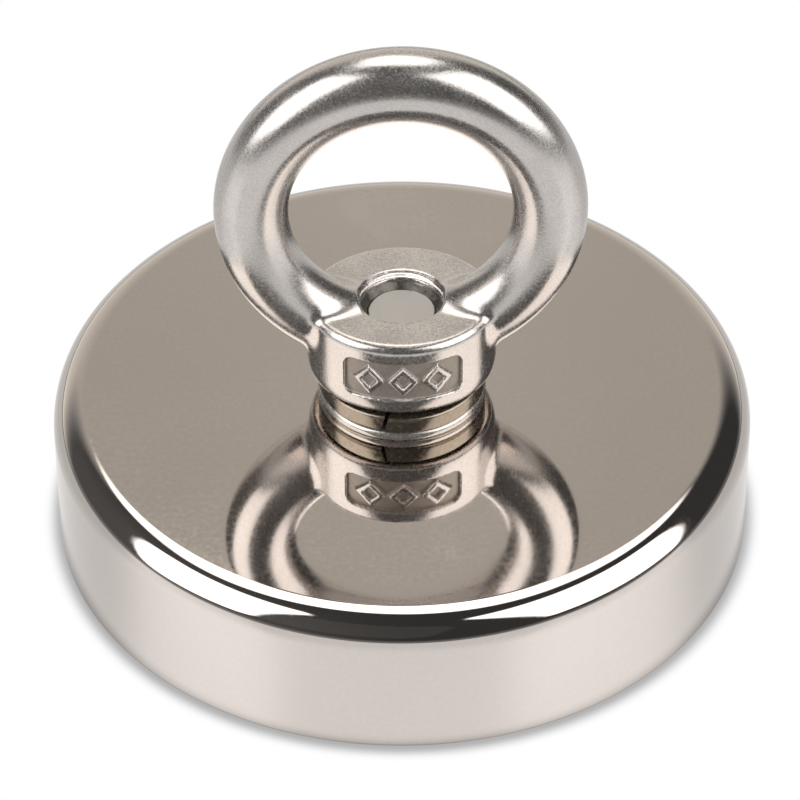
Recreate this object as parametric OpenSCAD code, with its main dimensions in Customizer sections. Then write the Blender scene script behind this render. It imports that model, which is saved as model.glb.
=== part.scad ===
// Single-sided magnet fishing magnet.
// A nickel-plated steel cup holds a ring magnet, which pulls at the open face below.
// A countersunk bolt comes up through the middle and carries a cast eye nut,
// clamped down on a flat washer and a split spring washer.
// The pulling rim stands on Z = 0 and the bolt runs along the Z axis.
// The plane of the eye is X-Z, and the marked side of its collar faces -Y.

/* [Cup] */
// Outside diameter of the steel cup
cup_d = 90; // [86:1:110]
// Height of the cup, from its pulling rim to its closed face
cup_h = 20.7; // [19:0.1:22]
// Round between the side and the closed face
cup_top_round = 4.3; // [1:0.1:5]
// Round at the outer edge of the pulling rim
cup_rim_round = 0.8; // [0.3:0.1:1.5]
// Diameter of the cavity that holds the magnet
cavity_d = 77; // [75:0.5:80]
// Thickness of the closed plate
plate_t = 9; // [8:0.5:10]

/* [Magnet] */
// Outside diameter of the ring magnet
magnet_d = 72; // [60:0.5:73]
// Diameter of the hole in the ring magnet
magnet_hole_d = 24.6; // [24:0.1:30]
// How far the magnet sits above the pulling plane
magnet_recess = 0.3; // [0.1:0.1:1]
// How far the resin sits above the pulling plane
resin_recess = 0.6; // [0.2:0.1:1.5]
// Thickness of the adhesive between the magnet and the plate
glue_t = 0.2; // [0.1:0.05:0.4]

/* [Bolt] */
// Thread diameter of the bolt
bolt_d = 10; // [10:1:10]
// Length of the bolt over its head
bolt_len = 30; // [29:0.5:31]
// Diameter of the countersunk head
head_d = 20; // [18:0.5:20]
// How far the head is sunk above the pulling plane
head_recess = 3.5; // [2:0.1:4]
// Width of the hexagon socket across its flats
socket_af = 6; // [6:1:8]
// Depth of the hexagon socket
socket_depth = 5.5; // [4:0.5:7]
// Chamfer at the thread's end
bolt_chamfer = 1; // [0.5:0.1:1.5]
// Outside diameter of the bush around the bolt
bush_d = 23; // [22.5:0.1:23.5]
// Clearance hole for the bolt, through the bush, the plate and the flat washer
clearance_d = 10.5; // [10.4:0.1:11]

/* [Washers] */
// Outside diameter of the flat washer
flat_d = 21.6; // [18:0.1:24]
// Thickness of the flat washer
flat_t = 1.3; // [1:0.1:2.5]
// Outside diameter of the spring washer
spring_d = 21.5; // [18:0.1:24]
// Hole in the spring washer
spring_hole_d = 10.6; // [10.6:0.1:11]
// Thickness of the spring washer
spring_t = 2.6; // [1.5:0.1:3]
// Width of the split in the spring washer
split_w = 0.9; // [0.5:0.1:2]
// Direction of the split, turned from -Y towards -X
split_turn = 13; // [0:1:90]
// Round on the outer edges of both washers
washer_round = 0.45; // [0.2:0.05:0.6]

/* [Eye nut] */
// Diameter of the eye's round bar
bar_d = 9.4; // [8:0.1:10]
// Diameter of the hole in the eye
eye_d = 28.2; // [25:0.1:30]
// Height of the eye's centre above the collar's lower face
eye_rise = 24.1; // [24:0.1:25.5]
// How far the casting leans back from its thread, in degrees
cast_lean = 3.5; // [0:0.5:4]
// How far the casting sits behind its thread
cast_back = 0.3; // [0:0.1:0.5]
// Width of the collar
collar_w = 24.2; // [24:0.1:25]
// Depth of the collar from front to back
collar_depth = 22.6; // [22:0.1:23]
// Radius of the collar's front and back faces
collar_face_r = 13; // [12.6:0.1:14]
// Height of the collar
collar_h = 10.5; // [10:0.1:11]
// Width of the steep chamfer under the collar
collar_chamfer = 0.5; // [0.3:0.1:0.8]
// Height of the steep chamfer under the collar
collar_chamfer_h = 1.4; // [0.5:0.1:2]
// Round at the collar's shoulder
collar_round = 1.1; // [0.5:0.1:1.4]
// Bore of the nut over its threads
nut_bore_d = 10.1; // [10.1:0.05:10.15]
// Diameter of the bore's upper mouth
mouth_d = 11; // [10.8:0.1:12]
// How far the mouth sits behind the thread
mouth_back = 0.3; // [0:0.1:0.3]
// Width of the sunk panel on the collar
panel_w = 14.6; // [14:0.1:16]
// Height of the sunk panel
panel_h = 5.6; // [5:0.1:5.7]
// Depth of the sunk panel
panel_depth = 0.45; // [0.2:0.05:0.6]
// Height of the panel's lower edge above the collar's lower face
panel_rise = 2.4; // [2.2:0.1:2.7]

/* [Hidden] */
$fn = 128;

// Plating and metal colours
nickel = [0.80, 0.77, 0.74];
magnet_nickel = [0.74, 0.73, 0.72];
resin_black = [0.09, 0.09, 0.10];
glue_amber = [0.63, 0.55, 0.38];
bush_steel = [0.62, 0.62, 0.63];
bolt_steel = [0.66, 0.66, 0.67];
washer_steel = [0.52, 0.51, 0.49];
cast_steel = [0.72, 0.70, 0.68];

// How far a cutter runs past the face that it cuts
past = 1;

// Heights above the pulling plane
floor_z = cup_h - plate_t;
magnet_top_z = floor_z - glue_t;
flat_z = cup_h;
spring_z = flat_z + flat_t;
nut_z = spring_z + spring_t;

// The countersunk head: a short straight edge, then a 90 degree cone down to the shank
head_edge = 0.5;
cone_h = (head_d - bolt_d) / 2;
cone_z = head_recess + head_edge;
head_clearance = 0.2;

// The eye's round bar follows a circle of this radius
eye_bar_r = (eye_d + bar_d) / 2;

// How far the arcs of the collar's front and back faces are centred from its middle
face_shift = collar_face_r - collar_depth / 2;

// The row of hollow lozenges raised in the sunk panel
lozenge_w = 3.9;
lozenge_h = 4.4;
lozenge_line = 0.75;
lozenge_pitch = 4.3;
lozenge_places = [-1, 0, 1];
panel_corner = 1.1;

// Half section of a round bar with rounded lower and upper outer edges
module bar_section(d, h, lower_round, upper_round) {
    r = d / 2;
    square([r - max(lower_round, upper_round), h]);
    translate([0, lower_round])
        square([r, h - lower_round - upper_round]);
    square([r - lower_round, h / 2]);
    translate([0, h / 2])
        square([r - upper_round, h / 2]);
    translate([r - lower_round, lower_round])
        circle(lower_round);
    translate([r - upper_round, h - upper_round])
        circle(upper_round);
}

// Plain ring that stands on z0 and ends at z1
module ring(outer_d, inner_d, z0, z1) {
    translate([0, 0, z0])
        difference() {
            cylinder(d = outer_d, h = z1 - z0);
            translate([0, 0, -past])
                cylinder(d = inner_d, h = z1 - z0 + 2 * past);
        }
}

// Rectangle with round corners, centred on its own middle
module round_rect(w, h, r) {
    square([w - 2 * r, h], center = true);
    square([w, h - 2 * r], center = true);
    for (x = [-1, 1], y = [-1, 1])
        translate([x * (w / 2 - r), y * (h / 2 - r)])
            circle(r);
}

// Lozenge of the given width and height
module lozenge(w, h) {
    polygon([[w / 2, 0], [0, h / 2], [-w / 2, 0], [0, -h / 2]]);
}

module hollow_lozenge() {
    difference() {
        lozenge(lozenge_w, lozenge_h);
        lozenge(lozenge_w - 2 * lozenge_line, lozenge_h - 2 * lozenge_line);
    }
}

module steel_cup() {
    color(nickel)
        difference() {
            rotate_extrude()
                bar_section(cup_d, cup_h, cup_rim_round, cup_top_round);
            translate([0, 0, -past])
                cylinder(d = cavity_d, h = floor_z + past);
            cylinder(d = clearance_d, h = cup_h + past);
        }
}

module ring_magnet() {
    color(magnet_nickel)
        ring(magnet_d, magnet_hole_d, magnet_recess, magnet_top_z);
}

module magnet_adhesive() {
    color(glue_amber)
        ring(magnet_d, magnet_hole_d, magnet_top_z, floor_z);
}

module outer_resin_ring() {
    color(resin_black)
        ring(cavity_d, magnet_d, resin_recess, floor_z);
}

module inner_resin_ring() {
    color(resin_black)
        ring(magnet_hole_d, bush_d, resin_recess, floor_z);
}

module centre_bush() {
    mouth_r = head_d / 2 + head_clearance;
    bore_r = clearance_d / 2;
    cone_top = cone_z + head_d / 2;
    color(bush_steel)
        rotate_extrude()
            polygon([
                [mouth_r, magnet_recess],
                [bush_d / 2, magnet_recess],
                [bush_d / 2, floor_z],
                [bore_r, floor_z],
                [bore_r, cone_top - bore_r],
                [mouth_r, cone_top - mouth_r]
            ]);
}

module countersunk_bolt() {
    end_z = head_recess + bolt_len;
    shank_r = bolt_d / 2;
    color(bolt_steel)
        difference() {
            rotate_extrude()
                polygon([
                    [0, head_recess],
                    [head_d / 2, head_recess],
                    [head_d / 2, cone_z],
                    [shank_r, cone_z + cone_h],
                    [shank_r, end_z - bolt_chamfer],
                    [shank_r - bolt_chamfer, end_z],
                    [0, end_z]
                ]);
            translate([0, 0, head_recess - past])
                cylinder(d = socket_af / cos(30), h = socket_depth + past, $fn = 6);
        }
}

module flat_washer() {
    color(washer_steel)
        translate([0, 0, flat_z])
            difference() {
                rotate_extrude()
                    bar_section(flat_d, flat_t, washer_round, washer_round);
                translate([0, 0, -past])
                    cylinder(d = clearance_d, h = flat_t + 2 * past);
            }
}

module spring_washer() {
    slant = 25;
    color(washer_steel)
        translate([0, 0, spring_z])
            difference() {
                rotate_extrude()
                    bar_section(spring_d, spring_t, washer_round, washer_round);
                translate([0, 0, -past])
                    cylinder(d = spring_hole_d, h = spring_t + 2 * past);
                rotate([0, 0, -split_turn])
                    translate([0, -spring_d / 2, spring_t / 2])
                        rotate([0, slant, 0])
                            cube([split_w, spring_d - spring_hole_d + past, 4 * spring_t], center = true);
            }
}

// Puts the casting's own frame, with its origin in the collar's lower face, on the thread
module lean_back() {
    translate([0, cast_back, nut_z])
        rotate([-cast_lean, 0, 0])
            children();
}

// Round collar of the given radius, with its chamfer and shoulder
module collar_form(r) {
    rotate_extrude() {
        polygon([
            [0, 0],
            [r - collar_chamfer, 0],
            [r, collar_chamfer_h],
            [r, collar_h - collar_round],
            [r - collar_round, collar_h - collar_round],
            [r - collar_round, collar_h],
            [0, collar_h]
        ]);
        translate([r - collar_round, collar_h - collar_round])
            circle(collar_round);
    }
}

// The collar is a little flatter at its front and back than at its sides
module collar() {
    intersection() {
        collar_form(collar_w / 2);
        translate([0, face_shift, 0])
            collar_form(collar_face_r);
        translate([0, -face_shift, 0])
            collar_form(collar_face_r);
    }
}

module eye_bar() {
    translate([0, 0, eye_rise])
        rotate([90, 0, 0])
            rotate_extrude()
                translate([eye_bar_r, 0])
                    circle(d = bar_d);
}

// What is cut away for the sunk panel, all but the raised lozenges
module panel_cut() {
    difference() {
        translate([0, 0, panel_rise + panel_h / 2])
            rotate([90, 0, 0])
                linear_extrude(collar_w)
                    difference() {
                        round_rect(panel_w, panel_h, panel_corner);
                        for (place = lozenge_places)
                            translate([place * lozenge_pitch, 0])
                                hollow_lozenge();
                    }
        translate([0, face_shift, 0])
            cylinder(r = collar_face_r - panel_depth, h = collar_h);
    }
}

// The threaded hole stays square to the seat
module nut_bore() {
    translate([0, 0, nut_z - past])
        cylinder(d = nut_bore_d, h = bar_d + collar_h);
}

// The mouth clears the bar at the foot of the eye
module bore_mouth() {
    mouth_depth = 0.45;
    translate([0, mouth_back, nut_z + collar_h - mouth_depth])
        cylinder(d = mouth_d, h = bar_d);
}

// What the leaning casting would push down past the level seat
module seat_cut() {
    translate([0, 0, nut_z - collar_h])
        cylinder(d = 2 * collar_w, h = collar_h);
}

module eye_nut() {
    color(cast_steel)
        difference() {
            lean_back()
                difference() {
                    union() {
                        collar();
                        eye_bar();
                    }
                    panel_cut();
                }
            nut_bore();
            bore_mouth();
            seat_cut();
        }
}

steel_cup();
ring_magnet();
magnet_adhesive();
outer_resin_ring();
inner_resin_ring();
centre_bush();
countersunk_bolt();
flat_washer();
spring_washer();
eye_nut();
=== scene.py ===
import math

import bmesh
import bpy
import numpy as np
from mathutils import Matrix, Vector


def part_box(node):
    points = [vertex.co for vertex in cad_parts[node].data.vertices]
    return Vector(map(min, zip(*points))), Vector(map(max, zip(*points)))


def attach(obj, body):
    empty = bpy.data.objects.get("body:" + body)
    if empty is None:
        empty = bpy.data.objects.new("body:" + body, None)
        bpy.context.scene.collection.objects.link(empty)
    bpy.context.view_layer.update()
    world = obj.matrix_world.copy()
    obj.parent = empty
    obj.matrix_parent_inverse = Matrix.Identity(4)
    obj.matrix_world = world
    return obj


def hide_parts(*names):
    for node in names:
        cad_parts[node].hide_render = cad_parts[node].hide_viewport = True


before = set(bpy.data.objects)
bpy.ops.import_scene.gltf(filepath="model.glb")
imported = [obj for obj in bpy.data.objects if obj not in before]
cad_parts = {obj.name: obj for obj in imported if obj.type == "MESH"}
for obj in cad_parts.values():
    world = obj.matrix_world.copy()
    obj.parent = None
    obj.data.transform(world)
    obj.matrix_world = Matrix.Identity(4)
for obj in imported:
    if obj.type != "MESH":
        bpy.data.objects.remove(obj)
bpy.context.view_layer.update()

# Sizes of shapes are in millimetres, and MM turns them into the scene's metres.
MM = 0.001
TURN = 2 * math.pi
LATHE_STEPS = 192


def extent(node):
    """Lowest and highest corner of a CAD node, in millimetres."""
    low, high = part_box(node)
    return np.array(low) / MM, np.array(high) / MM


def outer_radius(node):
    """Half the width of a CAD node along X."""
    low, high = extent(node)
    return (high[0] - low[0]) / 2


def heights(node):
    """Lowest and highest z of a CAD node."""
    low, high = extent(node)
    return low[2], high[2]


# Heights and radii that come from the frame
CUP_R = outer_radius("steel_cup")
CUP_TOP = heights("steel_cup")[1]
CAVITY_R = outer_radius("outer_resin_ring")
FLOOR_Z = heights("magnet_adhesive")[1]
MAGNET_R = outer_radius("ring_magnet")
MAGNET_LOW, MAGNET_TOP = heights("ring_magnet")
RESIN_LOW = heights("outer_resin_ring")[0]
MAGNET_HOLE_R = outer_radius("inner_resin_ring")
BUSH_R = outer_radius("centre_bush")
HEAD_R = outer_radius("countersunk_bolt")
HEAD_LOW, BOLT_END = heights("countersunk_bolt")
FLAT_R = outer_radius("flat_washer")
FLAT_LOW, FLAT_TOP = heights("flat_washer")
SPRING_R = outer_radius("spring_washer")
SPRING_LOW, SPRING_TOP = heights("spring_washer")
EYE_OUTER_R = outer_radius("eye_nut")
SEAT_Z = heights("eye_nut")[0]

# Sizes of the cup, the bolt and the washers that a box doesn't give
CUP_TOP_ROUND = 4.3
CUP_RIM_ROUND = 0.8
CLEARANCE_R = 5.25
BOLT_R = 5.0
PITCH = 1.5
THREAD_DEPTH = 0.92
THREAD_CLEARANCE = 0.13
THREAD_SLICE = PITCH / 20
HEAD_EDGE = 0.5
SOCKET_AF = 6.0
SOCKET_DEPTH = 5.5
SPRING_HOLE_R = 5.3
SPLIT_W = 0.45
SPLIT_TURN = math.radians(13)
SPLIT_SLANT = math.radians(12)
SPLIT_STEP = 0.25

# The eye nut's casting, in its own frame: origin in the collar's lower face, -Y the marked side
BAR_R = 4.7
EYE_RISE = 24.1
CAST_LEAN = math.radians(3.5)
CAST_BACK = 0.3
COLLAR_R = 12.1
COLLAR_HALF_DEPTH = 11.3
COLLAR_FACE_R = 13.0
COLLAR_H = 10.5
COLLAR_CHAMFER = 0.5
COLLAR_CHAMFER_H = 1.4
COLLAR_ROUND = 1.1
BORE_R = 5.2
MOUTH_R = 5.5
MOUTH_BACK = 0.9
MOUTH_DEPTH = 0.6
PANEL_W = 14.6
PANEL_H = 5.6
PANEL_RISE = 2.4
PANEL_DEPTH = 0.45
PANEL_CORNER = 1.1
LOZENGE_W = 3.9
LOZENGE_H = 4.4
LOZENGE_LINE = 0.75
LOZENGE_PITCH = 4.3


def new_object(name, vertices, faces):
    """An object whose mesh has these vertices, given in millimetres."""
    mesh = bpy.data.meshes.new(name)
    mesh.from_pydata((np.asarray(vertices, float) * MM).tolist(), [], faces)
    piece = bpy.data.objects.new(name, mesh)
    bpy.context.scene.collection.objects.link(piece)
    return piece


# ---------------------------------------------------------------- node trees

class Nodes:
    """Short calls for building a node tree."""

    def __init__(self, tree):
        self.tree = tree
        tree.nodes.clear()

    def add(self, kind, inputs=None, **settings):
        """A node with these settings, its inputs linked to sockets or set to values."""
        node = self.tree.nodes.new(kind)
        for key, value in settings.items():
            setattr(node, key, value)
        for key, value in (inputs or {}).items():
            socket = node.inputs[key]
            if isinstance(value, bpy.types.NodeSocket):
                self.tree.links.new(value, socket)
            else:
                socket.default_value = value
        return node

    def math(self, operation, a, b=0.0, c=0.0):
        return self.add("ShaderNodeMath", {0: a, 1: b, 2: c}, operation=operation).outputs[0]

    def plus(self, a, b):
        return self.math("ADD", a, b)

    def minus(self, a, b):
        return self.math("SUBTRACT", a, b)

    def times(self, a, b):
        return self.math("MULTIPLY", a, b)

    def largest(self, a, b):
        return self.math("MAXIMUM", a, b)

    def ramp(self, value, low, high, to_low=0.0, to_high=1.0):
        """value from low to high becomes to_low to to_high, softly."""
        node = self.add("ShaderNodeMapRange", {
            "Value": value, "From Min": low, "From Max": high,
            "To Min": to_low, "To Max": to_high})
        node.interpolation_type = "SMOOTHSTEP"
        return node.outputs["Result"]

    def mix(self, factor, low, high):
        """A colour between low and high."""
        node = self.add("ShaderNodeMix", {"Factor": factor, 6: low, 7: high}, data_type="RGBA")
        return node.outputs[2]

    def dot(self, a, b):
        node = self.add("ShaderNodeVectorMath", {0: a, 1: b}, operation="DOT_PRODUCT")
        return node.outputs["Value"]

    def length(self, vector):
        return self.add("ShaderNodeVectorMath", {0: vector}, operation="LENGTH").outputs["Value"]

    def object_point(self):
        return self.add("ShaderNodeTexCoord").outputs["Object"]

    def noise(self, where, scale, detail=2.0):
        node = self.add("ShaderNodeTexNoise", {"Vector": where, "Scale": scale, "Detail": detail})
        return node.outputs["Fac"]

    def bump(self, height, depth, normal=None):
        """A normal from this height, depth in millimetres, on top of another normal if there is one."""
        inputs = {"Height": height, "Strength": 1.0, "Distance": depth * MM}
        if normal is not None:
            inputs["Normal"] = normal
        return self.add("ShaderNodeBump", inputs).outputs[0]


def new_material(name):
    """A material and its empty node tree."""
    material = bpy.data.materials.new(name)
    material.use_nodes = True
    return material, Nodes(material.node_tree)


# ---------------------------------------------------------------- camera, floor and studio

def add_camera():
    """A long lens, a little left of the eye's normal and rolled very slightly."""
    distance = 629.7
    elevation = math.radians(41.09)
    azimuth = math.radians(-1.0)
    roll = math.radians(-0.254)
    aim_down = 1.756
    aim_left = 0.238
    target = Vector((0, 0, CUP_TOP))
    back = Vector((math.sin(azimuth) * math.cos(elevation),
                   -math.cos(azimuth) * math.cos(elevation), math.sin(elevation)))
    level_right = Vector((0, 0, 1)).cross(back).normalized()
    level_up = back.cross(level_right)
    right = math.cos(roll) * level_right + math.sin(roll) * level_up
    up = math.cos(roll) * level_up - math.sin(roll) * level_right
    place = target + distance * back
    aim = target - aim_down * up - aim_left * right
    look = (place - aim).normalized()
    side = up.cross(look).normalized()
    turned = Matrix((side, look.cross(side), look)).transposed().to_4x4()
    camera = bpy.data.objects.new("camera", bpy.data.cameras.new("camera"))
    camera.matrix_world = Matrix.Translation(place * MM) @ turned
    camera.data.lens = 219.9
    camera.data.sensor_width = 36
    camera.data.clip_start = 0.01
    camera.data.clip_end = 20
    bpy.context.scene.collection.objects.link(camera)
    bpy.context.scene.camera = camera


def softbox(nodes, way, azimuth, elevation, roll, half_wide, half_high, corner):
    """1 in a rounded rectangle of directions, 0 outside it.

    The middle and the roll are in degrees. The half sizes and the corner are tangents.
    """
    soft = 0.03
    side_on = 0.05
    ahead_enough = 0.1
    a, e, roll = (math.radians(v) for v in (azimuth, elevation, roll))
    middle = Vector((math.sin(a) * math.cos(e), math.cos(a) * math.cos(e), math.sin(e)))
    level = Vector((math.cos(a), -math.sin(a), 0))
    rise = level.cross(middle)
    across = math.cos(roll) * level + math.sin(roll) * rise
    along = math.cos(roll) * rise - math.sin(roll) * level
    ahead = nodes.dot(way, middle)
    divisor = nodes.largest(ahead, side_on)
    past_corner = []
    for side, half in ((across, half_wide), (along, half_high)):
        tangent = nodes.math("ABSOLUTE", nodes.math("DIVIDE", nodes.dot(way, side), divisor))
        past_corner.append(nodes.plus(tangent, corner - half))
    u, v = past_corner
    beyond = nodes.add("ShaderNodeCombineXYZ", {0: nodes.largest(u, 0), 1: nodes.largest(v, 0)})
    outside = nodes.length(beyond.outputs[0])
    inside = nodes.math("MINIMUM", nodes.largest(u, v), 0)
    edge = nodes.plus(outside, inside)
    mask = nodes.ramp(edge, corner - soft, corner + soft, 1.0, 0.0)
    return nodes.times(mask, nodes.ramp(ahead, side_on, ahead_enough))


def add_studio():
    """White for the camera, an even fill for matt surfaces, and a dark room for polished ones.

    The room has a pale backdrop and softboxes. Azimuths are from +Y, positive towards +X.
    """
    white = 1.05
    fill = 1.0
    world = bpy.data.worlds.new("studio")
    bpy.context.scene.world = world
    world.use_nodes = True
    world.cycles.sampling_method = "NONE"
    nodes = Nodes(world.node_tree)
    way = nodes.add("ShaderNodeTexCoord").outputs["Generated"]
    x, y, z = nodes.add("ShaderNodeSeparateXYZ", {0: way}).outputs
    elevation = nodes.math("ARCSINE", z)
    azimuth = nodes.math("ARCTAN2", x, y)

    # The backdrop: a pale area behind the object, narrower and dimmer the higher it goes
    middle = math.radians(-4)
    width_at_horizon = math.radians(50)
    narrowing = 0.68
    edge = math.radians(12)
    level_at_horizon = 0.81
    dimming = 0.48
    half_width = nodes.math("MULTIPLY_ADD", elevation, -narrowing, width_at_horizon)
    off = nodes.math("ABSOLUTE", nodes.plus(azimuth, -middle))
    backdrop = nodes.ramp(nodes.minus(off, half_width), -edge, edge, 1.0, 0.0)
    level = nodes.minus(level_at_horizon, nodes.times(elevation, dimming))

    # The room: dark, darker on the right, with a haze low down
    left, right = -0.9, 0.1
    left_level, right_level = 0.1, 0.045
    haze_low, haze_high = math.radians(-2), math.radians(8)
    haze_level = 0.2
    room = nodes.ramp(x, left, right, left_level, right_level)
    haze = nodes.ramp(elevation, haze_low, haze_high, haze_level, 0.0)
    glow = nodes.plus(nodes.plus(room, haze), nodes.times(backdrop, level))

    # High behind, left, right, a dim card in front and a faint strip behind. The columns are
    # azimuth, elevation, roll, half width, half height, corner and strength.
    boxes = (
        (-0.9, 63.7, 18.0, 0.335, 0.325, 0.22, 2.3),
        (-109.5, 36.5, -14.0, 0.385, 0.555, 0.14, 2.4),
        (110.5, 38.5, 10.0, 0.475, 0.555, 0.08, 2.35),
        (-160.0, 36.0, 0.0, 0.5, 0.36, 0.2, 0.025),
        (1.0, 41.0, 0.0, 0.035, 0.3, 0.03, 0.04),
    )
    for *shape, strength in boxes:
        glow = nodes.plus(glow, nodes.times(softbox(nodes, way, *shape), strength))

    # Which ray sees what
    backdrop_tint = (1, 0.955, 0.875, 1)
    path = nodes.add("ShaderNodeLightPath").outputs
    by_camera = nodes.times(path["Is Camera Ray"], white)
    by_matt = nodes.times(path["Is Diffuse Ray"], fill)
    polished = nodes.minus(1.0, nodes.largest(path["Is Camera Ray"], path["Is Diffuse Ray"]))
    by_polished = nodes.times(polished, glow)
    total = nodes.plus(nodes.plus(by_camera, by_matt), by_polished)
    tint = nodes.mix(nodes.times(polished, backdrop), (1, 1, 1, 1), backdrop_tint)
    shader = nodes.add("ShaderNodeBackground", {"Color": tint, "Strength": total})
    nodes.add("ShaderNodeOutputWorld", {"Surface": shader.outputs[0]})


def add_floor():
    """A pale floor that glows evenly, with a narrow painted contact shadow. The object sees its glow
    fade with distance, as painted shade.
    """
    half = 3000
    z = -0.02
    corners = [(-half, -half, z), (half, -half, z), (half, half, z), (-half, half, z)]
    floor = new_object("floor", corners, [(0, 1, 2, 3)])
    material, nodes = new_material("floor_white")
    path = nodes.add("ShaderNodeLightPath").outputs
    where = nodes.object_point()
    radius = nodes.length(where)

    # The painted contact shadow: the glow is darkened by how much of the sky is hidden close by
    shadow_reach = 2.5 * MM
    most_hidden = 0.45
    darkest = 0.45
    open_sky = nodes.add("ShaderNodeAmbientOcclusion", {"Distance": shadow_reach}).outputs["AO"]
    painted_contact_shadow = nodes.ramp(open_sky, most_hidden, 1.0, darkest, 1.0)

    # Painted shade on the glow that the object sees: dimmer round the cup, far off, and from the cup's
    # front backwards.
    # Each ramp runs between two distances in metres, and from one level to another.
    y = nodes.add("ShaderNodeSeparateXYZ", {0: where}).outputs[1]
    round_cup = nodes.ramp(radius, 0.055, 0.1, 0.97, 0.84)
    far_off = nodes.ramp(radius, 0.2, 0.9, 1.0, 0.15)
    behind = nodes.ramp(y, -0.05, -0.015, 1.0, 0.75)
    painted_floor_shade = nodes.times(nodes.times(round_cup, far_off), behind)
    level = nodes.largest(painted_floor_shade, path["Is Camera Ray"])
    glow = nodes.add("ShaderNodeEmission", {"Color": (1, 1, 1, 1), "Strength": nodes.times(painted_contact_shadow, level)})

    # A faint gloss that shows only in reflections
    gloss_level = 0.12
    gloss_roughness = 0.3
    sheen = nodes.ramp(path["Is Camera Ray"], 0, 1, gloss_level, 0.0)
    gloss = nodes.add("ShaderNodeBsdfAnisotropic", {"Color": sheen, "Roughness": gloss_roughness})
    both = nodes.add("ShaderNodeAddShader", {0: glow.outputs[0], 1: gloss.outputs[0]})
    nodes.add("ShaderNodeOutputMaterial", {"Surface": both.outputs[0]})
    floor.data.materials.append(material)


# ---------------------------------------------------------------- materials

def scaled_colour(colour, factor):
    return [min(1.0, c * factor) for c in colour] + [1]


def grooves(nodes, where, pitch, depth, normal):
    """The fine concentric grooves of a lathe, pitch and depth in millimetres, on top of a normal."""
    wobble_scale = 700.0
    wobble_size = 0.0002
    flat = nodes.add("ShaderNodeVectorMath", {0: where, 1: (1, 1, 0)}, operation="MULTIPLY").outputs[0]
    wobble = nodes.times(nodes.noise(where, wobble_scale), wobble_size)
    radius = nodes.plus(nodes.length(flat), wobble)
    wave = nodes.math("SINE", nodes.times(radius, TURN / (pitch * MM)))
    return nodes.bump(wave, depth, normal)


def metal(name, colour, roughness, spread, grain, grain_depth,
          tint=0.03, mottle=90.0, metallic=1.0, haze=0.0, turned=None):
    """Metal with a mottled colour and gloss, a fine grain and hazy patches.

    grain and mottle are noise scales a metre. turned is the pitch and depth of its grooves, if any.
    """
    fine_share = 0.6
    colour_band = (0.38, 0.62)
    gloss_band = (0.35, 0.65)
    haze_scale = 38.0
    haze_band = (0.6, 0.72)
    material, nodes = new_material(name)
    where = nodes.object_point()
    broad = nodes.noise(where, mottle, 3.0)
    fine = nodes.noise(where, grain, 3.0)
    both = nodes.plus(nodes.times(fine, fine_share), nodes.times(broad, 1 - fine_share))
    shade = nodes.ramp(both, *colour_band)
    blend = nodes.mix(shade, scaled_colour(colour, 1 - tint), scaled_colour(colour, 1 + tint))
    gloss = nodes.ramp(both, *gloss_band, roughness - spread, roughness + spread)
    patches = nodes.ramp(nodes.noise(where, haze_scale, 4.0), *haze_band, 0.0, haze)
    normal = nodes.bump(fine, grain_depth)
    if turned:
        normal = grooves(nodes, where, *turned, normal)
    shader = nodes.add("ShaderNodeBsdfPrincipled", {
        "Base Color": blend, "Metallic": metallic, "Roughness": nodes.plus(gloss, patches),
        "Normal": normal})
    nodes.add("ShaderNodeOutputMaterial", {"Surface": shader.outputs[0]})
    return material


def plastic(name, colour, roughness, grain, grain_depth):
    """Cast resin or glue with a mottled colour and gloss and an uneven surface."""
    darkest, lightest = 0.75, 1.3
    gloss_band = (0.3, 0.7)
    smoother, rougher = 0.06, 0.1
    material, nodes = new_material(name)
    broad = nodes.noise(nodes.object_point(), grain, 4.0)
    blend = nodes.mix(broad, scaled_colour(colour, darkest), scaled_colour(colour, lightest))
    gloss = nodes.ramp(broad, *gloss_band, roughness - smoother, roughness + rougher)
    shader = nodes.add("ShaderNodeBsdfPrincipled", {
        "Base Color": blend, "Roughness": gloss, "Normal": nodes.bump(broad, grain_depth)})
    nodes.add("ShaderNodeOutputMaterial", {"Surface": shader.outputs[0]})
    return material


# ---------------------------------------------------------------- meshes

def finish_piece(piece, material, node, body, sharp=32):
    """Smooth shading with edges sharp past this angle, the material, and the frame's table."""
    mesh = piece.data
    mesh.shade_smooth()
    mesh.set_sharp_from_angle(angle=math.radians(sharp))
    mesh.materials.append(material)
    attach(piece, body)
    if node:
        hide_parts(node)


def clean_mesh(piece, merge_within=0.0):
    """Merges vertices closer than this, in metres, and turns every face outwards."""
    work = bmesh.new()
    work.from_mesh(piece.data)
    if merge_within:
        bmesh.ops.remove_doubles(work, verts=work.verts, dist=merge_within)
    bmesh.ops.recalc_face_normals(work, faces=work.faces)
    work.to_mesh(piece.data)
    work.free()
    return piece


def arc(centre, radius, start, end, steps=12):
    """Points of an arc in (r, z), between two angles in degrees."""
    angles = [math.radians(a) for a in np.linspace(start, end, steps + 1)]
    return [(centre[0] + radius * math.cos(a), centre[1] + radius * math.sin(a)) for a in angles]


def step_angles(steps):
    return np.arange(steps) * TURN / steps


def lathe(name, rings, steps=LATHE_STEPS, closed=True):
    """Turns a half section about Z. A ring's r may be an array, one radius for each step."""
    angle = step_angles(steps)
    count = len(rings)
    points = np.zeros((count, steps, 3))
    for i, (r, z) in enumerate(rings):
        points[i, :, 0] = r * np.cos(angle)
        points[i, :, 1] = r * np.sin(angle)
        points[i, :, 2] = z
    faces = []
    for i in range(count if closed else count - 1):
        j = (i + 1) % count
        for k in range(steps):
            n = (k + 1) % steps
            faces.append((i * steps + k, i * steps + n, j * steps + n, j * steps + k))
    return clean_mesh(new_object(name, points.reshape(-1, 3), faces), merge_within=1e-7)


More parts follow.
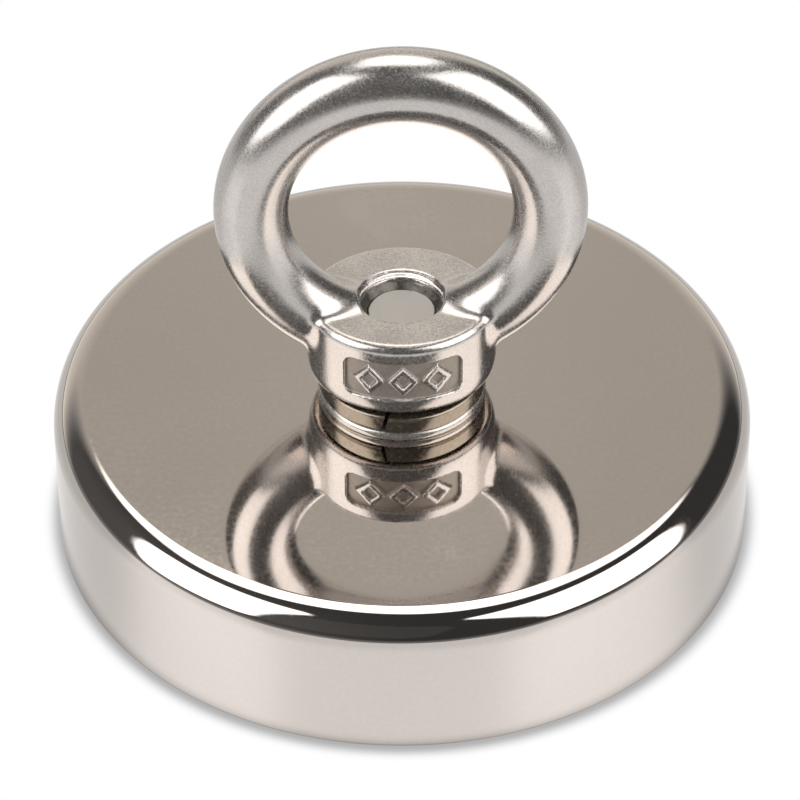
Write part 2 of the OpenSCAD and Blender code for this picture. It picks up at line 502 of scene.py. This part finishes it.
def rounded_band(inner, outer, low, high, rounds):
    """Half section of a ring. The rounds are for outer low, outer high, inner high and inner low."""
    corners = (
        (outer, low, -1, 1, -90),
        (outer, high, -1, -1, 0),
        (inner, high, 1, -1, 90),
        (inner, low, 1, 1, 180),
    )
    section = []
    for (r, z, in_r, in_z, start), size in zip(corners, rounds):
        section += arc((r + in_r * size, z + in_z * size), size, start, start + 90, 6)
    return section


def thread_fall(z, angle):
    """How deep the thread's flank lies below its crest at this height and angle, from 0 to 1.

    The crest's half width and the start of the root are in pitches from the crest's middle.
    """
    half_crest = 1 / 16
    root_start = 3 / 8
    along = (z / PITCH - angle / TURN) % 1.0
    from_crest = np.abs(along - 0.5)
    return np.clip((from_crest - half_crest) / (root_start - half_crest), 0, 1)


def cup_shell():
    """The pot. Points close to the ends of its outer rounds keep the shading flat beside them."""
    support = 0.02
    edge = 0.3
    inner_round = 0.4
    r, top, big, small = CUP_R, CUP_TOP, CUP_TOP_ROUND, CUP_RIM_ROUND
    section = [(r, small + support), (r, top - big - support)]
    section += arc((r - big, top - big), big, 0, 90, 40)
    section += [(r - big - support, top), (CLEARANCE_R + edge, top), (CLEARANCE_R, top - edge)]
    section += [(CLEARANCE_R, FLOOR_Z), (CAVITY_R - inner_round, FLOOR_Z)]
    section += [(CAVITY_R, FLOOR_Z - inner_round), (CAVITY_R, edge), (CAVITY_R + edge, 0)]
    section += arc((r - small, small), small, -90, 0, 10)
    return lathe("cup_shell", section, 256)


def magnet_body():
    rounds = (0.6, 0.3, 0.3, 0.6)
    section = rounded_band(MAGNET_HOLE_R, MAGNET_R, MAGNET_LOW, MAGNET_TOP, rounds)
    return lathe("magnet_body", section)


def resin(name, inner, outer):
    """Cured resin. Its open surface faces down, and is hollowed a little between the walls."""
    hollow = 0.22
    surface = [(inner + (outer - inner) * t, RESIN_LOW + hollow * 4 * t * (1 - t))
               for t in np.linspace(0, 1, 13)]
    return lathe(name, surface + [(outer, FLOOR_Z), (inner, FLOOR_Z)])


def bush_turned():
    """The bush, with a countersink that the bolt's head sits in and a recess below the head."""
    head_gap = 0.2
    edge = 0.3
    mouth_r = HEAD_R + head_gap
    cone_top = HEAD_LOW + HEAD_EDGE + HEAD_R
    return lathe("bush_turned", [
        (mouth_r + edge, MAGNET_LOW),
        (BUSH_R - edge, MAGNET_LOW),
        (BUSH_R, MAGNET_LOW + edge),
        (BUSH_R, FLOOR_Z),
        (CLEARANCE_R, FLOOR_Z),
        (CLEARANCE_R, cone_top - CLEARANCE_R),
        (mouth_r, cone_top - mouth_r),
        (mouth_r, MAGNET_LOW + edge),
    ])


def bolt_threaded():
    """Countersunk head with a hexagon socket, a plain shank and a rolled thread with a chamfered end."""
    drill_point = 0.9
    socket_edge = 0.3
    head_round = 0.25
    thread_low = 18.0
    thread_start = 0.05
    chamfer = 0.85
    end_corner = 0.05
    end_support = 0.5
    angle = step_angles(LATHE_STEPS)
    to_flat = (angle + TURN / 12) % (TURN / 6) - TURN / 12
    hexagon = SOCKET_AF / 2 / np.cos(to_flat)
    cone_z = HEAD_LOW + HEAD_EDGE
    socket_end = HEAD_LOW + SOCKET_DEPTH
    rings = [
        (0.0, socket_end + drill_point),
        (hexagon, socket_end),
        (hexagon, HEAD_LOW + socket_edge),
        (hexagon + socket_edge, HEAD_LOW),
        (HEAD_R - head_round, HEAD_LOW),
        (HEAD_R, HEAD_LOW + head_round),
        (HEAD_R, cone_z),
        (BOLT_R, cone_z + HEAD_R - BOLT_R),
        (BOLT_R, thread_low),
    ]
    for z in np.arange(thread_low + thread_start, BOLT_END, THREAD_SLICE):
        run_in = min(1.0, (z - thread_low) / PITCH)
        r = BOLT_R - THREAD_DEPTH * run_in * thread_fall(z, angle)
        rings.append((np.minimum(r, BOLT_R - chamfer + (BOLT_END - z)), z))
    for inset in (end_corner, end_support):
        rings.append((BOLT_R - chamfer - inset, BOLT_END))
    rings.append((0.0, BOLT_END))
    return lathe("bolt_threaded", rings, closed=False)


def nut_thread():
    """The thread inside the eye nut, as a sleeve set into the casting, countersunk at both ends."""
    overlap = 0.35
    short_of_top = 1.0
    least_r = 4.28
    lead_in = 0.8
    lead_in_gap = 0.3
    lead_in_fall = 1.2
    angle = step_angles(LATHE_STEPS)
    sleeve_r = BORE_R + overlap
    low = SEAT_Z + overlap
    high = SEAT_Z + COLLAR_H - short_of_top
    rings = [(sleeve_r, low), (sleeve_r, high)]
    for z in np.arange(high, low, -THREAD_SLICE):
        open_up = max(0.0, 1 - (high - z) / lead_in, 1 - (z - low) / lead_in)
        r = BOLT_R + THREAD_CLEARANCE - THREAD_DEPTH * thread_fall(z, angle)
        cone_r = BOLT_R + lead_in_gap - (1 - open_up) * lead_in_fall
        rings.append((np.maximum(np.maximum(r, least_r), cone_r), z))
    return lathe("nut_thread", rings)


def washer_flat():
    """The flat washer, well rounded outside as a stamped one is."""
    rounds = (0.5, 0.65, 0.12, 0.12)
    return lathe("washer_flat", rounded_band(CLEARANCE_R, FLAT_R, FLAT_LOW, FLAT_TOP, rounds))


def washer_spring():
    """A split ring with slanting ends. One end stands a little proud of the other."""
    rounds = (0.4, 0.35, 0.15, 0.15)
    stations = 220
    rising_share = 0.2
    low, high = SPRING_LOW, SPRING_TOP - SPLIT_STEP
    section = np.array(rounded_band(SPRING_HOLE_R, SPRING_R, low, high, rounds))
    count = len(section)
    gap = SPLIT_W / SPRING_R
    split = -TURN / 4 - SPLIT_TURN
    points = []
    for s in np.linspace(0, 1, stations):
        base = split + gap / 2 + s * (TURN - gap)
        lift = SPLIT_STEP * max(0.0, 1 - (1 - s) / rising_share)
        for r, z in section:
            a = base + (z - (low + high) / 2) * math.tan(SPLIT_SLANT) / r
            points.append((r * math.cos(a), r * math.sin(a), z + lift))
    faces = [tuple(range(count)), tuple((stations - 1) * count + i for i in reversed(range(count)))]
    for j in range(stations - 1):
        for i in range(count):
            n = (i + 1) % count
            faces.append((j * count + i, (j + 1) * count + i, (j + 1) * count + n, j * count + n))
    return clean_mesh(new_object("washer_spring", points, faces))


# ---------------------------------------------------------------- the cast eye nut

def soft_max(a, b, k):
    """The larger of two distances, with their meeting edge blended over k."""
    h = np.maximum(k - np.abs(a - b), 0) / k
    return np.maximum(a, b) + h * h * k / 4


def soft_min(a, b, k):
    """The smaller of two distances, with their meeting edge blended over k."""
    return -soft_max(-a, -b, k)


def rounded_max(a, b, r):
    """The larger of two distances, with a true round of radius r where they meet."""
    outside = np.hypot(np.maximum(a + r, 0), np.maximum(b + r, 0))
    return np.minimum(np.maximum(a + r, b + r), 0) + outside - r


def panel_relief(x, z):
    """1 on the sunk panel's floor, 0 on the collar's face and on the raised lozenges."""
    slope = 0.11
    up = z - PANEL_RISE - PANEL_H / 2
    dx = np.abs(x) - (PANEL_W / 2 - PANEL_CORNER)
    dz = np.abs(up) - (PANEL_H / 2 - PANEL_CORNER)
    corner = np.hypot(np.maximum(dx, 0), np.maximum(dz, 0))
    panel = corner + np.minimum(np.maximum(dx, dz), 0) - PANEL_CORNER
    sunk = np.clip(0.5 - panel / (2 * slope), 0, 1)
    steep = math.hypot(LOZENGE_W, LOZENGE_H) / 2
    for place in (-1, 0, 1):
        across = np.abs(x - place * LOZENGE_PITCH) * LOZENGE_H
        along = np.abs(up) * LOZENGE_W
        edge = (across + along - LOZENGE_W * LOZENGE_H / 2) / (2 * steep)
        line = np.abs(edge + LOZENGE_LINE / 2) - LOZENGE_LINE / 2
        sunk = sunk * np.clip(0.5 + line / (2 * slope), 0, 1)
    return sunk * sunk * (3 - 2 * sunk)


def to_thread_frame(x, y, z):
    """Points of the leaning casting, in the frame of the thread, whose seat is at z 0."""
    c, s = math.cos(CAST_LEAN), math.sin(CAST_LEAN)
    return x, CAST_BACK + c * y + s * z, c * z - s * y


def casting(x, y, z):
    """Signed distance to the eye nut's surface, about true near it."""
    side_blend = 0.8
    chamfer_blend = 0.35
    foot_blend = 0.5
    bar_blend = 1.2
    bore_blend = 0.2
    mouth_blend = 0.35
    seat_blend = 0.12
    eye_r = EYE_OUTER_R - BAR_R
    bar = np.hypot(np.hypot(x, z - EYE_RISE) - eye_r, y) - BAR_R
    shift = COLLAR_FACE_R - COLLAR_HALF_DEPTH
    faces = np.hypot(x, np.abs(y) + shift) - COLLAR_FACE_R
    side = soft_max(np.hypot(x, y) - COLLAR_R, faces, side_blend)
    side = side + PANEL_DEPTH * np.where(y < 0, panel_relief(x, z), 0)
    tilt = math.hypot(COLLAR_CHAMFER, COLLAR_CHAMFER_H)
    chamfer = (side * COLLAR_CHAMFER_H - (z - COLLAR_CHAMFER_H) * COLLAR_CHAMFER) / tilt
    body = rounded_max(side, z - COLLAR_H, COLLAR_ROUND)
    body = soft_max(body, chamfer, chamfer_blend)
    body = soft_max(body, -z, foot_blend)
    solid = soft_min(bar, body, bar_blend)
    tx, ty, tz = to_thread_frame(x, y, z)
    bore = np.maximum(np.hypot(tx, ty) - BORE_R, tz - COLLAR_H)
    solid = soft_max(solid, -bore, bore_blend)
    mouth = np.maximum(np.hypot(tx, ty - MOUTH_BACK) - MOUTH_R, COLLAR_H - MOUTH_DEPTH - tz)
    mouth = np.maximum(mouth, tz - COLLAR_H - 2 * BAR_R)
    solid = soft_max(solid, -mouth, mouth_blend)
    return soft_max(solid, -tz, seat_blend)


def surface_net(field, planes):
    """Vertices and quads on the zero level of field, over a grid with these planes."""
    value = field(*np.meshgrid(*planes, indexing="ij"))
    cells = tuple(np.array(value.shape) - 1)
    inside = value < 0
    total = np.zeros(cells + (3,))
    hits = np.zeros(cells)
    crossings = []
    for axis in range(3):
        others = [a for a in range(3) if a != axis]
        lo = [slice(None)] * 3
        hi = [slice(None)] * 3
        lo[axis] = slice(0, -1)
        hi[axis] = slice(1, None)
        cell = np.argwhere(inside[tuple(lo)] != inside[tuple(hi)])
        far = cell.copy()
        far[:, axis] += 1
        v0 = value[tuple(cell.T)]
        v1 = value[tuple(far.T)]
        t = v0 / (v0 - v1)
        place = np.stack([planes[a][cell[:, a]] for a in range(3)], 1)
        place[:, axis] += t * (planes[axis][far[:, axis]] - planes[axis][cell[:, axis]])
        crossings.append((axis, others, cell, v0 < 0))
        for da in (0, 1):
            for db in (0, 1):
                near = cell.copy()
                near[:, others[0]] -= da
                near[:, others[1]] -= db
                np.add.at(total, tuple(near.T), place)
                np.add.at(hits, tuple(near.T), 1)
    used = hits > 0
    index = np.full(hits.shape, -1)
    index[used] = np.arange(used.sum())
    vertices = total[used] / hits[used][:, None]
    faces = []
    for axis, others, cell, starts_inside in crossings:
        corners = []
        for da, db in ((0, 0), (1, 0), (1, 1), (0, 1)):
            near = cell.copy()
            near[:, others[0]] -= da
            near[:, others[1]] -= db
            corners.append(index[tuple(near.T)])
        quad = np.stack(corners, 1)
        faces_out = starts_inside if axis != 1 else ~starts_inside
        quad[~faces_out] = quad[~faces_out][:, ::-1]
        faces.append(quad)
    return vertices, np.concatenate(faces)


def onto_surface(field, vertices, rounds=4):
    """Moves vertices along the field's gradient onto its zero level."""
    step = 0.01
    furthest = 0.15
    least_slope = 0.2
    for _ in range(rounds):
        value = field(*vertices.T)
        slope = np.zeros_like(vertices)
        for axis in range(3):
            shift = np.zeros(3)
            shift[axis] = step
            slope[:, axis] = (field(*(vertices + shift).T) - field(*(vertices - shift).T)) / (2 * step)
        size = np.maximum((slope ** 2).sum(1), least_slope)
        move = np.clip(value / size, -furthest, furthest)
        vertices = vertices - move[:, None] * slope
    return vertices


def nut_casting():
    """The casting, and which of its faces are the floor of the sunk panel."""
    coarse, fine = 0.33, 0.14
    eye_margin = 0.5
    panel_margin = 0.4
    front_margin, rear_margin = 0.6, 0.9
    below = -1.3
    floor_relief = 0.6
    reach = EYE_OUTER_R + eye_margin

    def graded(low, high, fine_low, fine_high):
        """Grid planes from low to high, closer together over the panel."""
        fine_low, fine_high = fine_low - panel_margin, fine_high + panel_margin
        return np.concatenate([np.arange(low, fine_low, coarse), np.arange(fine_low, fine_high, fine),
                               np.arange(fine_high, high + coarse, coarse)])

    planes = (
        graded(-reach, reach, -PANEL_W / 2, PANEL_W / 2),
        np.arange(-COLLAR_HALF_DEPTH - front_margin, COLLAR_HALF_DEPTH + rear_margin + coarse, coarse),
        graded(below, EYE_RISE + reach, PANEL_RISE, PANEL_RISE + PANEL_H),
    )
    vertices, faces = surface_net(casting, planes)
    vertices = onto_surface(casting, vertices)
    middle = vertices[faces].mean(1)
    in_panel = (panel_relief(middle[:, 0], middle[:, 2]) > floor_relief) & (middle[:, 1] < 0)
    x, y, z = to_thread_frame(*vertices.T)
    placed = np.stack([x, y, z + SEAT_Z], 1)
    return new_object("nut_casting", placed, faces.tolist()), in_panel


# ---------------------------------------------------------------- the model

def build_pot():
    """The pieces that stay on the pot."""
    nickel = metal(
        "nickel_mirror", (0.64, 0.585, 0.545), roughness=0.045, spread=0.025,
        grain=1500.0, grain_depth=0.00006, tint=0.012, mottle=45.0, haze=0.06)
    magnet_nickel = metal(
        "nickel_satin", (0.60, 0.59, 0.57), roughness=0.2, spread=0.06, grain=1800.0, grain_depth=0.0015)
    bush = metal(
        "bush_stainless", (0.56, 0.56, 0.56), roughness=0.28, spread=0.06,
        grain=2400.0, grain_depth=0.002, turned=(0.18, 0.003))
    bolt = metal(
        "bolt_stainless", (0.43, 0.41, 0.39), roughness=0.42, spread=0.06,
        grain=2400.0, grain_depth=0.002, turned=(0.22, 0.002))
    stamped = metal(
        "stamped_stainless", (0.64, 0.60, 0.55), roughness=0.25, spread=0.07,
        grain=2200.0, grain_depth=0.004, tint=0.05, mottle=160.0, metallic=0.85)
    black_resin = plastic(
        "potting_resin", (0.02, 0.02, 0.022), roughness=0.22, grain=260.0, grain_depth=0.02)
    glue = plastic(
        "cured_adhesive", (0.55, 0.45, 0.26), roughness=0.45, grain=400.0, grain_depth=0.02)
    finish_piece(cup_shell(), nickel, "steel_cup", "pot")
    finish_piece(magnet_body(), magnet_nickel, "ring_magnet", "pot")
    finish_piece(resin("outer_resin", MAGNET_R, CAVITY_R), black_resin,
                 "outer_resin_ring", "pot")
    finish_piece(resin("inner_resin", BUSH_R, MAGNET_HOLE_R), black_resin,
                 "inner_resin_ring", "pot")
    finish_piece(bush_turned(), bush, "centre_bush", "pot")
    finish_piece(bolt_threaded(), bolt, "countersunk_bolt", "pot")
    finish_piece(washer_flat(), stamped, "flat_washer", "pot")
    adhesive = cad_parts["magnet_adhesive"]
    adhesive.data.materials.clear()
    adhesive.data.materials.append(glue)


def build_spring_washer():
    sprung = metal(
        "spring_stainless", (0.33, 0.28, 0.22), roughness=0.24, spread=0.08,
        grain=1600.0, grain_depth=0.004, tint=0.14, mottle=220.0, metallic=0.9)
    finish_piece(washer_spring(), sprung, "spring_washer", "spring_washer")


def build_eye_nut():
    """The casting, with a duller material on its panel's floor, and its thread."""
    cast = metal(
        "cast_stainless", (0.62, 0.58, 0.55), roughness=0.235, spread=0.05,
        grain=3000.0, grain_depth=0.009, tint=0.08, mottle=140.0, metallic=0.92)
    sunk = metal(
        "cast_panel", (0.40, 0.355, 0.31), roughness=0.5, spread=0.06,
        grain=2600.0, grain_depth=0.02, tint=0.1, mottle=300.0, metallic=0.75)
    # The thread's dark colour is painted shade for the inside of the bore.
    threaded = metal(
        "thread_painted_shade", (0.26, 0.24, 0.21), roughness=0.34, spread=0.08,
        grain=1600.0, grain_depth=0.004, tint=0.1, mottle=220.0)
    piece, in_panel = nut_casting()
    finish_piece(piece, cast, "eye_nut", "eye_nut", sharp=60)
    piece.data.materials.append(sunk)
    piece.data.polygons.foreach_set("material_index", in_panel.astype(np.int32))
    finish_piece(nut_thread(), threaded, None, "eye_nut")


add_camera()
add_studio()
add_floor()
build_pot()
build_spring_washer()
build_eye_nut()
bpy.context.scene.view_settings.view_transform = "Standard"
